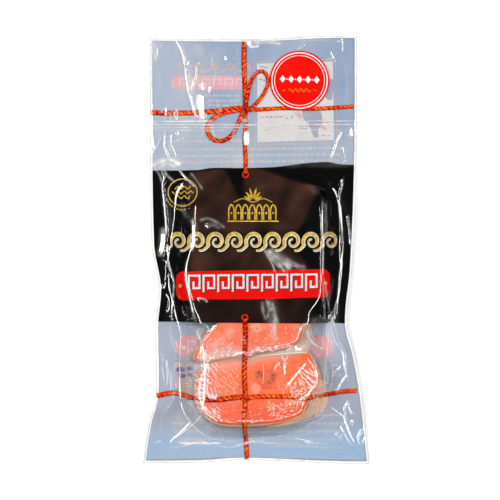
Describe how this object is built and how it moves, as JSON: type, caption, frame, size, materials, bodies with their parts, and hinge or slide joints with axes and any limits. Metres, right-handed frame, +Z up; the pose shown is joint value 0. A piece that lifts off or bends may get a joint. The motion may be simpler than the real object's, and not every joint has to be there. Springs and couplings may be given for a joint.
{
  "type": "vacuum-packed raw salmon steak",
  "caption": "Clear vacuum pouch of raw salmon steaks lying on its back: film drawn tightly over the slices, a flat header with a round label, and a welded rim.",
  "frame": {"origin": "under the middle of the bounding box, on the surface that the pouch lies on", "axes": "+Y along the pouch towards its header, +Z up out of the printed front, +X to the right as the front is read"},
  "size_m": [0.1746, 0.33, 0.023],
  "materials": {
    "clear_film": "glossy clear film over raw fish and a pale blue printed back",
    "label_paper": "satin coated label"
  },
  "bodies": {
    "root": {"pouch": "clear_film", "round_label": "label_paper"}
  },
  "joints": []
}
